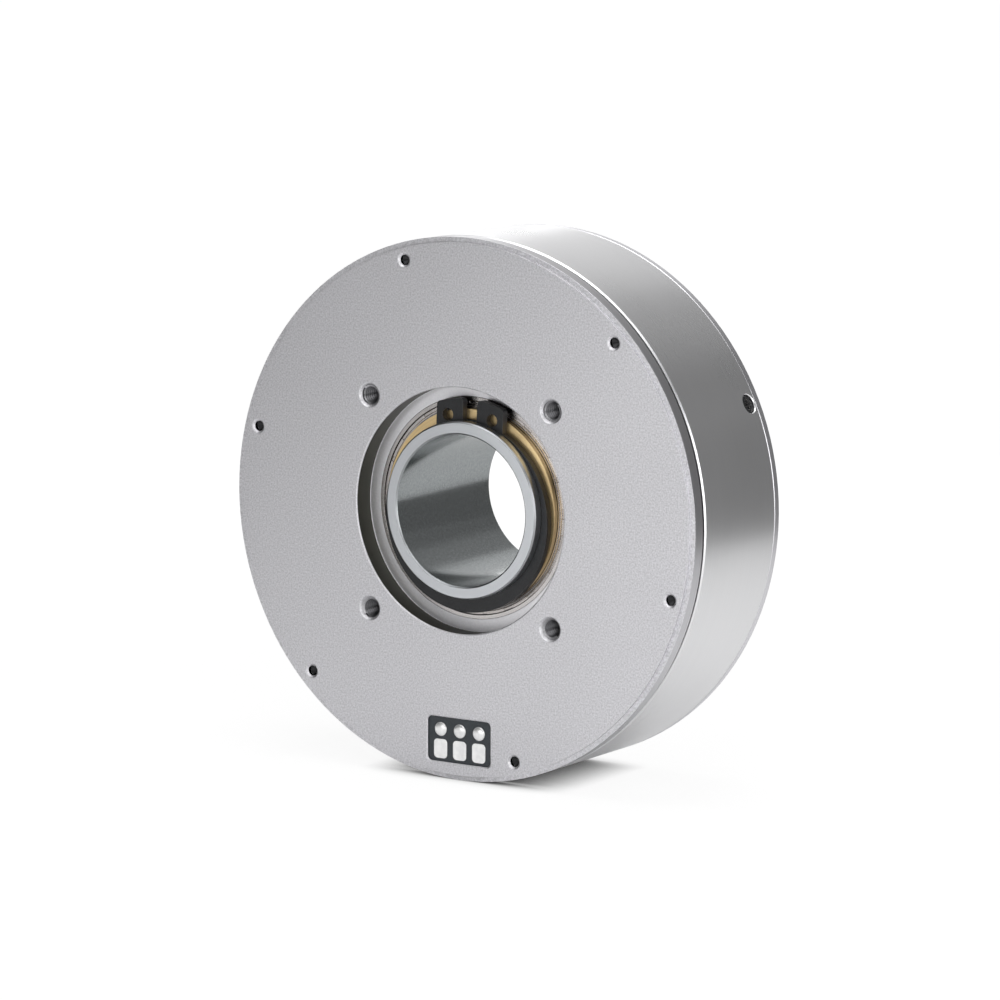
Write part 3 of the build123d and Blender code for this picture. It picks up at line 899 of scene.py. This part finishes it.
def build_edges():
    """Edges eased over a width: a softened normal, kept true on round walls, and a mask of where it bends."""
    tree, goes_in, goes_out = new_group(
        "Eased edges", [("Width", 0.00008)], [("Normal", "NodeSocketVector"), ("Edge", "NodeSocketFloat")]
    )
    largest_slip = 0.04  # a turn about the axis up to this is a seam's and not an edge's
    flat, bent = 0.98, 0.75  # the softened normal's share along the face's own, off and on an edge
    eased = node(tree, "ShaderNodeBevel", samples=6)
    feed(tree, eased.inputs["Radius"], goes_in["Width"])
    face = node(tree, "ShaderNodeNewGeometry").outputs["Normal"]
    along = vector_maths(tree, "DOT_PRODUCT", eased.outputs[0], face, "Value")
    into = node(tree, "ShaderNodeVectorTransform", vector_type="NORMAL", convert_from="WORLD", convert_to="OBJECT")
    feed(tree, into.inputs[0], eased.outputs[0])
    ring = vector_maths(tree, "CROSS_PRODUCT", node(tree, "ShaderNodeTexCoord").outputs["Object"], (0.0, 1.0, 0.0))
    ring = vector_maths(tree, "NORMALIZE", ring, (0.0, 0.0, 0.0))
    slip = vector_maths(tree, "DOT_PRODUCT", into.outputs[0], ring, "Value")
    small = maths(tree, "LESS_THAN", maths(tree, "ABSOLUTE", slip), largest_slip)
    stray = vector_maths(tree, "SCALE", ring, times(tree, slip, small))
    true = vector_maths(tree, "SUBTRACT", into.outputs[0], stray)
    back = node(tree, "ShaderNodeVectorTransform", vector_type="NORMAL", convert_from="OBJECT", convert_to="WORLD")
    feed(tree, back.inputs[0], true)
    feed(tree, goes_out["Normal"], back.outputs[0])
    feed(tree, goes_out["Edge"], spread(tree, along, flat, bent))


def new_finish(name, metallic, roughness, **sockets):
    """A material with a Principled shader whose constant sockets are set on it."""
    material = bpy.data.materials.new(name)
    material.use_nodes = True
    tree = material.node_tree
    shader = next(part for part in tree.nodes if part.type == "BSDF_PRINCIPLED")
    shader.inputs["Metallic"].default_value = metallic
    shader.inputs["Roughness"].default_value = roughness
    for label, value in sockets.items():
        shader.inputs[label.replace("_", " ")].default_value = value
    return material, tree, shader


def relief(tree, shader, marks, depth, normal):
    """Bumps from the marks on top of a normal."""
    bump = node(tree, "ShaderNodeBump")
    bump.inputs["Distance"].default_value = depth
    feed(tree, bump.inputs["Height"], marks)
    feed(tree, bump.inputs["Normal"], normal)
    feed(tree, shader.inputs["Normal"], bump.outputs["Normal"])


def ring_tangent(tree, shader):
    """Lets the shine stretch across the lathe's rings."""
    tangent = node(tree, "ShaderNodeTangent", direction_type="RADIAL", axis="Y")
    feed(tree, shader.inputs["Tangent"], tangent.outputs["Tangent"])


def turned_metal(name, colour, roughness, spacing, depth, contrast, anisotropic, deep=1.0):
    """Metal with a lathe's rings, painted highlights along its edges, and painted shade in corners and gaps, darker by
    the factor deep.
    """
    shine, shine_share = 1.1, 0.7  # painted highlight of an edge against the metal's own colour, and how much of it shows
    shut, open_wide = 0.15, 0.7  # openness at which a gap's painted shade is darkest, and from which there is none
    material, tree, shader = new_finish(name, 1.0, roughness, Anisotropic=anisotropic, Anisotropic_Rotation=0.25)
    marks = use_group(tree, "Turning marks", spacing=spacing)["Marks"]
    clouds = use_group(tree, "Clouds", size=0.03)["Marks"]
    edges = use_group(tree, "Eased edges", width=0.00008)
    share = stretch(tree, marks)
    base = tones(tree, share, colour, 1 - contrast, 1 + contrast)
    # painted highlight along the edges
    base = blend(tree, times(tree, edges["Edge"], shine_share), base, shade_of(colour, shine))
    # painted shade in corners and gaps
    if deep < 1:
        open_air = spread(tree, use_group(tree, "Cavities", reach=0.002)["Open"], shut, open_wide)
        base = blend(tree, open_air, shade_of(colour, deep), base)
    feed(tree, shader.inputs["Base Color"], base)
    rough = stretch(tree, clouds, roughness * 0.9, roughness * 1.1)
    feed(tree, shader.inputs["Roughness"], maths(tree, "ADD", rough, times(tree, share, 0.03)))
    relief(tree, shader, marks, depth, edges["Normal"])
    ring_tangent(tree, shader)
    return material


def blasted_aluminium(colours):
    """The mounting plate: its front is blasted and its rim is turned; painted shade darkens its recess wall, holes and
    corners, painted light lightens the recess's seat, and painted highlights brighten its edges.
    """
    face_deep = 0.0008  # to this depth the plate counts as its front
    wall_start, wall_end = 0.0003, RECESS_DEEP - 0.0001
    # rings round the threaded holes and the rim holes, whose painted shade fades in over the given depths
    threads_r, threads_reach, threads_fade = bpy.context.scene.motor_threads.front_r, 0.0025, (0.00003, 0.0012)
    rim_r, rim_reach, rim_fade = bpy.context.scene.motor_edges.hole_circle, 0.0016, (0.00044, 0.0007)
    shut, open_wide = 0.12, 0.45  # openness at which a gap's painted shade is darkest, and from which there is none
    material, tree, shader = new_finish("Blasted aluminium", 1.0, 0.45)
    places = use_group(tree, "Places")
    radius, along = places["Radius"], places["Along"]
    on_face = maths(tree, "LESS_THAN", along, face_deep)
    on_wall = times(tree, near(tree, radius, RECESS_R, ZONE), between(tree, along, wall_start, wall_end))
    on_seat = times(tree, between(tree, radius, BEARING_R, RECESS_R), near(tree, along, RECESS_DEEP, ZONE))
    by_threads = near(tree, radius, threads_r, threads_reach)
    painted_shade_in_threads = times(tree, by_threads, spread(tree, along, *threads_fade))
    painted_shade_in_rim = times(tree, near(tree, radius, rim_r, rim_reach), spread(tree, along, *rim_fade))
    rings = use_group(tree, "Turning marks", spacing=0.00022)["Marks"]
    grain = use_group(tree, "Blasted grain", grain=0.00034)["Marks"]
    clouds = use_group(tree, "Clouds", size=0.03)["Marks"]
    edges = use_group(tree, "Eased edges", width=0.00012)
    open_air = spread(tree, use_group(tree, "Cavities", reach=0.003)["Open"], shut, open_wide)
    turned = tones(tree, stretch(tree, rings), colours.aluminium, 0.76, 0.84)
    blasted = tones(tree, stretch(tree, grain), colours.aluminium, 0.80, 1.14)
    base = blend(tree, on_face, turned, blasted)
    # painted shade in corners and gaps
    base = blend(tree, open_air, colours.hollow, base)
    # painted light: the recess's seat is lightened and kept clear of the painted shade, against the shade that falls in
    # the recess
    base = blend(tree, on_seat, base, tones(tree, grain, colours.aluminium, 1.2, 1.4))
    # painted shade: the recess wall takes the dark recess colour
    base = blend(tree, on_wall, base, colours.recess)
    # painted shade deep in the threaded holes and the rim holes
    base = blend(tree, painted_shade_in_threads, base, shade_of(colours.hollow, 1.3))
    base = blend(tree, painted_shade_in_rim, base, shade_of(colours.hollow, 0.4))
    # painted highlight along the edges, weaker round the threaded holes
    painted_edge_highlight = times(tree, edges["Edge"], slide(tree, by_threads, 0.9, 0.2))
    base = blend(tree, painted_edge_highlight, base, shade_of(colours.aluminium, 1.35))
    feed(tree, shader.inputs["Base Color"], base)
    rough_too = maths(tree, "MAXIMUM", on_face, maths(tree, "MAXIMUM", on_wall, on_seat))
    smoother = stretch(tree, clouds, 0.27, 0.32)
    rougher = stretch(tree, clouds, 0.46, 0.52)
    gap = maths(tree, "SUBTRACT", rougher, smoother)
    feed(tree, shader.inputs["Roughness"], maths(tree, "ADD", smoother, times(tree, gap, rough_too)))
    marks = maths(tree, "ADD", times(tree, grain, on_face), times(tree, rings, 0.3))
    relief(tree, shader, marks, 0.000012, edges["Normal"])
    return material


def turned_aluminium(colours):
    return turned_metal(
        "Turned aluminium",
        colours.aluminium,
        roughness=0.33,
        spacing=0.00025,
        depth=0.00001,
        contrast=0.05,
        anisotropic=0.3,
    )


def turned_steel(colours):
    return turned_metal(
        "Turned steel", colours.can, roughness=0.29, spacing=0.00018, depth=0.000002, contrast=0.02, anisotropic=0.0
    )


def shaft_steel(colours):
    """The shaft: ground outside, and honed and speckled in its bore."""
    bore_reach = 0.00005  # inside the bore's radius and this, a point lies on the bore's wall
    chamfer, chamfer_deep = 0.0003, 0.00069  # width of the end's chamfers, and the depth that they end at
    material, tree, shader = new_finish("Ground steel", 1.0, 0.3)
    places = use_group(tree, "Places")
    radius, along = places["Radius"], places["Along"]
    in_bore = maths(tree, "LESS_THAN", radius, BORE_R + bore_reach)
    inner = maths(tree, "LESS_THAN", radius, BORE_R + chamfer)
    outer = maths(tree, "GREATER_THAN", radius, SHAFT_R - chamfer)
    on_chamfer = times(tree, maths(tree, "LESS_THAN", along, chamfer_deep), maths(tree, "ADD", inner, outer))
    rings = use_group(tree, "Turning marks", spacing=0.00015)["Marks"]
    grain = use_group(tree, "Blasted grain", grain=0.0004)["Marks"]
    ground = tones(tree, stretch(tree, rings), colours.shaft, 0.97, 1.03)
    ground = blend(tree, on_chamfer, ground, shade_of(colours.shaft, 0.5))
    honed = tones(tree, stretch(tree, grain), colours.bore, 0.86, 1.14)
    feed(tree, shader.inputs["Base Color"], blend(tree, in_bore, ground, honed))
    feed(tree, shader.inputs["Roughness"], slide(tree, in_bore, 0.32, 0.17))
    marks = maths(tree, "ADD", rings, times(tree, grain, in_bore))
    relief(tree, shader, marks, 0.000003, use_group(tree, "Eased edges", width=0.00006)["Normal"])
    return material


def bearing_steel(colours):
    return turned_metal(
        "Bearing steel",
        colours.bearing,
        roughness=0.2,
        spacing=0.00012,
        depth=0.000004,
        contrast=0.08,
        anisotropic=0.3,
        # painted shade in gaps and corners, to this share of the colour
        deep=0.4,
    )


def shield_steel(colours):
    return turned_metal(
        "Pressed steel",
        colours.shield,
        roughness=0.25,
        spacing=0.00014,
        depth=0.000004,
        contrast=0.1,
        anisotropic=0.2,
        # painted shade in gaps and corners, to this share of the colour
        deep=0.25,
    )


def shim_brass(colours):
    return turned_metal(
        "Satin brass",
        colours.brass,
        roughness=0.3,
        spacing=0.00016,
        depth=0.000006,
        contrast=0.08,
        anisotropic=0.2,
        # painted shade in gaps and corners, to this share of the colour
        deep=0.3,
    )


def core_steel(colours):
    """Stacked laminations: lines along the axis."""
    seam, sheet = (0.08, 0.08, 0.09), (0.36, 0.37, 0.39)
    half_sheet, seam_wide = 0.00025, 0.00008
    material, tree, shader = new_finish("Core steel", 1.0, 0.45)
    along = use_group(tree, "Places")["Along"]
    share = spread(tree, maths(tree, "PINGPONG", along, half_sheet), 0.0, seam_wide)
    feed(tree, shader.inputs["Base Color"], blend(tree, share, seam, sheet))
    relief(tree, shader, share, 0.00003, use_group(tree, "Eased edges", width=0.0001)["Normal"])
    return material


def copper_wire(colours):
    """Enamelled wire, wound side by side, with painted shade towards each gap between the turns."""
    wire_r = 0.00022
    material, tree, shader = new_finish("Copper wire", 0.9, 0.3, Coat_Weight=0.4)
    radius = use_group(tree, "Places")["Radius"]
    wave = spread(tree, maths(tree, "PINGPONG", radius, wire_r), 0.0, wire_r)
    # painted shade: darker towards each gap between the turns
    feed(tree, shader.inputs["Base Color"], tones(tree, wave, colours.copper, 0.35, 1.0))
    relief(tree, shader, wave, 0.00015, use_group(tree, "Eased edges", width=0.0002)["Normal"])
    return material


def speckled(name, metallic, roughness, dark, light, grain, depth):
    """A finish whose colour and roughness vary with a fine grain."""
    material, tree, shader = new_finish(name, metallic, roughness)
    marks = use_group(tree, "Blasted grain", grain=grain)["Marks"]
    clouds = use_group(tree, "Clouds", size=0.006)["Marks"]
    mixed = maths(tree, "ADD", times(tree, marks, 0.6), times(tree, clouds, 0.4))
    share = spread(tree, mixed, 0.35, 0.65)
    feed(tree, shader.inputs["Base Color"], blend(tree, share, dark, light))
    feed(tree, shader.inputs["Roughness"], stretch(tree, clouds, roughness * 0.85, roughness * 1.15))
    relief(tree, shader, marks, depth, use_group(tree, "Eased edges", width=0.00012)["Normal"])
    return material


def magnet(colours):
    dark, light = (0.52, 0.50, 0.46), (0.66, 0.63, 0.58)
    return speckled("Nickel plate", metallic=1.0, roughness=0.25, dark=dark, light=light, grain=0.0004, depth=0.000005)


def black_steel(colours):
    """Blackened steel with painted highlights along its edges, strongest along a screw's, where they stand for glints.
    """
    # colours of the painted highlights on the ring's edges and on a screw's
    ring_edge_highlight, screw_edge_glint = (0.16, 0.15, 0.14), (0.5, 0.48, 0.45)
    material, tree, shader = new_finish("Black steel", 0.0, 0.35, Specular_IOR_Level=0.45)
    marks = use_group(tree, "Blasted grain", grain=0.0002)["Marks"]
    clouds = use_group(tree, "Clouds", size=0.002)["Marks"]
    edges = use_group(tree, "Eased edges", width=0.00007)
    base = tones(tree, spread(tree, marks, 0.35, 0.65), colours.black, 0.7, 1.5)
    on_screw = maths(tree, "GREATER_THAN", use_group(tree, "Places")["Radius"], SCREWS_R)
    painted_edge_colour = blend(tree, on_screw, ring_edge_highlight, screw_edge_glint)
    feed(tree, shader.inputs["Base Color"], blend(tree, edges["Edge"], base, painted_edge_colour))
    feed(tree, shader.inputs["Roughness"], stretch(tree, clouds, 0.3, 0.45))
    relief(tree, shader, marks, 0.00001, edges["Normal"])
    return material


def cage_plastic(colours):
    dark, light = (0.66, 0.62, 0.50), (0.76, 0.72, 0.60)
    return speckled("Moulded nylon", metallic=0.0, roughness=0.5, dark=dark, light=light, grain=0.0003, depth=0.00001)


def board(colours):
    dark, light = shade_of(colours.board, 0.8), shade_of(colours.board, 1.3)
    return speckled("Solder mask", metallic=0.0, roughness=0.4, dark=dark, light=light, grain=0.0003, depth=0.00001)


def solder(colours):
    """Bright domes of solder, and paler, duller pads below them."""
    dark, light = (0.82, 0.82, 0.82), (0.95, 0.95, 0.94)
    material, tree, shader = new_finish("Bright tin", 1.0, 0.2)
    on_pad = maths(tree, "GREATER_THAN", use_group(tree, "Places")["Radius"], PADS_R)
    grain = use_group(tree, "Blasted grain", grain=0.0003)["Marks"]
    clouds = use_group(tree, "Clouds", size=0.0012)["Marks"]
    feed(tree, shader.inputs["Base Color"], blend(tree, stretch(tree, clouds), dark, light))
    feed(tree, shader.inputs["Metallic"], slide(tree, on_pad, 0.75, 0.3))
    feed(tree, shader.inputs["Roughness"], slide(tree, on_pad, 0.28, 0.42))
    marks = maths(tree, "ADD", times(tree, grain, 0.2), clouds)
    relief(tree, shader, marks, 0.00003, use_group(tree, "Eased edges", width=0.00012)["Normal"])
    return material


FINISHES = {
    "blasted_aluminium": blasted_aluminium,
    "turned_aluminium": turned_aluminium,
    "turned_steel": turned_steel,
    "shaft_steel": shaft_steel,
    "bearing_steel": bearing_steel,
    "shield_steel": shield_steel,
    "core_steel": core_steel,
    "copper_wire": copper_wire,
    "magnet": magnet,
    "shim_brass": shim_brass,
    "black_steel": black_steel,
    "cage_plastic": cage_plastic,
    "board": board,
    "solder": solder,
}


class MOTOR_OT_finishes(bpy.types.Operator):
    """Give every piece the finish of its material slot"""

    bl_idname = "motor.finishes"
    bl_label = "Apply Finishes"

    def execute(self, context):
        for build in (build_places, build_turning, build_blasting, build_clouds, build_cavities, build_edges):
            build()
        colours = context.scene.motor_finishes
        finishes = {slot: make(colours) for slot, make in FINISHES.items()}
        slots = {part["node"]: part["material_slot"] for part in frame["record"]["subparts"]}
        for name, piece in NODES.items():
            piece.data.materials.clear()
            piece.data.materials.append(finishes[slots[name]])
        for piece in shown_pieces():
            if "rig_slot" in piece:
                piece.data.materials.clear()
                piece.data.materials.append(finishes[piece["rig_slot"]])
        return {"FINISHED"}


# Studio
def softbox(name, place, wide, high, power):
    """A soft lamp that faces the motor and isn't seen itself."""
    lamp = bpy.data.lights.new(name, "AREA")
    lamp.shape = "RECTANGLE"
    lamp.size = wide
    lamp.size_y = high
    lamp.energy = power
    holder = bpy.data.objects.new(name, lamp)
    bpy.context.collection.objects.link(holder)
    holder.location = place
    holder.rotation_euler = (Vector((0, 0, 0)) - Vector(place)).to_track_quat("-Z", "Y").to_euler()
    holder.visible_camera = False


def grey_sheet(name, grey):
    """The active object, made a grey that only reflections see."""
    sheet = bpy.context.object
    sheet.name = name
    material = bpy.data.materials.new(name)
    material.use_nodes = True
    tree = material.node_tree
    tree.nodes.clear()
    glow = node(tree, "ShaderNodeEmission")
    glow.inputs["Color"].default_value = (grey, grey, grey, 1.0)
    feed(tree, node(tree, "ShaderNodeOutputMaterial").inputs[0], glow.outputs[0])
    sheet.data.materials.append(material)
    sheet.visible_camera = False
    sheet.visible_diffuse = False
    sheet.visible_shadow = False
    sheet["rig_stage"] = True
    return sheet


def card(name, place, wide, high, grey):
    start_piece()
    bpy.ops.mesh.primitive_plane_add(size=1)
    sheet = grey_sheet(name, grey)
    sheet.scale = (wide, high, 1)
    sheet.location = place
    sheet.rotation_euler = (-Vector(place)).to_track_quat("Z", "Y").to_euler()


def drape(grey):
    """A grey drape round the stage, open above to the white room."""
    radius, high = 1.3, 1.6
    start_piece()
    bpy.ops.mesh.primitive_cylinder_add(
        vertices=64, radius=radius, depth=high, end_fill_type="NOTHING", location=(0, 0, FLOOR_Z + high / 2)
    )
    grey_sheet("Drape", grey)


def paper_floor(near_lift, far_lift):
    """White paper: matt, lifted to white for the camera, with a painted soft shadow of the motor taken from ambient
    occlusion out of that lift, beside the lamps' real shadow on its matt part.
    """
    paper, seen_paper = 0.9, 0.12  # grey of the matt paper for the motor and for the camera
    near_reach, far_reach = 0.15, 0.6  # where the lift starts to grow and where it ends
    shadow_reach, fade = 0.0055, 1.8  # how far above the paper the motor casts its painted shadow, and how fast that fades
    start_piece()
    bpy.ops.mesh.primitive_plane_add(size=12, location=(0, 0, FLOOR_Z))
    floor = named("paper_floor")
    material = bpy.data.materials.new("White paper")
    material.use_nodes = True
    tree = material.node_tree
    tree.nodes.clear()
    far = node(tree, "ShaderNodeVectorMath", operation="LENGTH")
    feed(tree, far.inputs[0], node(tree, "ShaderNodeTexCoord").outputs["Object"])
    lift = spread(tree, far.outputs["Value"], near_reach, far_reach, near_lift, far_lift)
    shelter = node(tree, "ShaderNodeAmbientOcclusion", samples=16)
    shelter.inputs["Distance"].default_value = shadow_reach
    # painted shadow of the motor, from ambient occlusion
    painted_shadow = maths(tree, "POWER", maths(tree, "SUBTRACT", 1.0, shelter.outputs["AO"]), fade)
    glow = node(tree, "ShaderNodeEmission")
    feed(tree, glow.inputs["Strength"], times(tree, lift, slide(tree, painted_shadow, 1.0, 0.0)))
    matt = node(tree, "ShaderNodeBsdfDiffuse")
    matt.inputs["Color"].default_value = (paper, paper, paper, 1.0)
    seen_matt = node(tree, "ShaderNodeBsdfDiffuse")
    seen_matt.inputs["Color"].default_value = (seen_paper, seen_paper, seen_paper, 1.0)
    both = node(tree, "ShaderNodeAddShader")
    feed(tree, both.inputs[0], seen_matt.outputs[0])
    feed(tree, both.inputs[1], glow.outputs[0])
    view = node(tree, "ShaderNodeMixShader")
    feed(tree, view.inputs[0], node(tree, "ShaderNodeLightPath").outputs["Is Camera Ray"])
    feed(tree, view.inputs[1], matt.outputs[0])
    feed(tree, view.inputs[2], both.outputs[0])
    feed(tree, node(tree, "ShaderNodeOutputMaterial").inputs[0], view.outputs[0])
    floor.data.materials.append(material)
    floor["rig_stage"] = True


def white_world(ambient):
    """A world that is white where it is seen or mirrored and gives matt surfaces an even, plain light."""
    world = bpy.data.worlds.new("White room")
    world.use_nodes = True
    tree = world.node_tree
    rays = node(tree, "ShaderNodeLightPath").outputs
    mirrored = maths(tree, "MAXIMUM", rays["Is Glossy Ray"], rays["Is Transmission Ray"])
    seen = maths(tree, "MAXIMUM", rays["Is Camera Ray"], mirrored)
    background = next(part for part in tree.nodes if part.type == "BACKGROUND")
    background.inputs["Color"].default_value = (1.0, 1.0, 1.0, 1.0)
    feed(tree, background.inputs["Strength"], slide(tree, seen, ambient, 1.0))
    bpy.context.scene.world = world


def photo_camera(studio):
    lens = bpy.data.cameras.new("Camera")
    lens.lens = studio.lens
    lens.sensor_width = 36.0
    lens.clip_end = 50.0
    camera = bpy.data.objects.new("Camera", lens)
    bpy.context.collection.objects.link(camera)
    turn = Matrix.Rotation(studio.yaw, 4, "Z") @ Matrix.Rotation(math.pi / 2 - studio.pitch, 4, "X")
    camera.matrix_world = Matrix.Translation(studio.place) @ turn @ Matrix.Rotation(studio.roll, 4, "Z")
    bpy.context.scene.camera = camera


# Lamps: name, place, width, height and power in watts
LAMPS = (
    ("Front lamp, low right", (0.22, -0.30, -0.01), 0.25, 0.07, 0.06),
    ("Front lamp, low middle", (-0.05, -0.36, -0.01), 0.25, 0.07, 0.15),
    ("Right lamp", (0.34, -0.14, 0.06), 0.3, 0.2, 0.45),
    ("Front lamp, high right", (0.15, -0.30, 0.25), 0.25, 0.25, 0.4),
    ("Top lamp", (0.0, 0.0, 0.45), 0.3, 0.3, 1.0),
    ("Back lamp, left", (-0.35, 0.35, 0.30), 0.25, 0.25, 0.3),
    ("Rear lamp", (-0.1, 0.45, 0.05), 0.3, 0.15, 0.3),
)

# Cards that only reflections see: name, place, width, height and grey
CARDS = (
    ("Right flag", (0.14, 0.207, 0.008), 0.3, 0.12, 0.2),
    ("Back card, left", (-0.459, 0.655, 0.25), 0.9, 0.6, 0.85),
    ("Back card, high", (0.07, 0.797, 0.55), 0.55, 0.4, 0.37),
    ("Back card, right", (0.5, 0.655, 0.3), 0.5, 0.7, 0.25),
)


class MOTOR_OT_studio(bpy.types.Operator):
    """Set up the floor, the lamps, the world and the camera"""

    bl_idname = "motor.studio"
    bl_label = "Set Up Studio"

    def execute(self, context):
        studio = context.scene.motor_studio
        context.scene.view_settings.view_transform = "Standard"
        white_world(studio.ambient)
        paper_floor(studio.near_lift, studio.far_lift)
        for name, place, wide, high, power in LAMPS:
            softbox(name, place, wide, high, power * studio.power)
        drape(studio.room)
        for name, place, wide, high, grey in CARDS:
            card(name, place, wide, high, grey)
        photo_camera(studio)
        return {"FINISHED"}


# Sidebar
STEPS = ("threads", "edges", "shields", "terminals", "screws", "finishes", "studio")


class MOTOR_PT_looks(bpy.types.Panel):
    """The steps that dress the motor"""

    bl_idname = "MOTOR_PT_looks"
    bl_label = "Gimbal Motor"
    bl_space_type = "VIEW_3D"
    bl_region_type = "UI"
    bl_category = "Motor"

    def draw(self, context):
        for step in STEPS:
            self.layout.operator(f"motor.{step}")


PROPERTY_GROUPS = {
    "motor_threads": MotorThreads,
    "motor_edges": MotorEdges,
    "motor_shields": MotorShields,
    "motor_terminals": MotorTerminals,
    "motor_screws": MotorScrews,
    "motor_finishes": MotorFinishes,
    "motor_studio": MotorStudio,
}
OPERATORS = (
    MOTOR_OT_threads,
    MOTOR_OT_edges,
    MOTOR_OT_shields,
    MOTOR_OT_terminals,
    MOTOR_OT_screws,
    MOTOR_OT_finishes,
    MOTOR_OT_studio,
)


def register():
    for made in (*PROPERTY_GROUPS.values(), *OPERATORS, MOTOR_PT_looks):
        bpy.utils.register_class(made)
    for name, group in PROPERTY_GROUPS.items():
        setattr(bpy.types.Scene, name, PointerProperty(type=group))


def unregister():
    for name in PROPERTY_GROUPS:
        delattr(bpy.types.Scene, name)
    for made in reversed((*PROPERTY_GROUPS.values(), *OPERATORS, MOTOR_PT_looks)):
        bpy.utils.unregister_class(made)


def main():
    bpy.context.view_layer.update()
    register()
    for step in STEPS:
        getattr(bpy.ops.motor, step)()


if __name__ == "__main__":
    main()
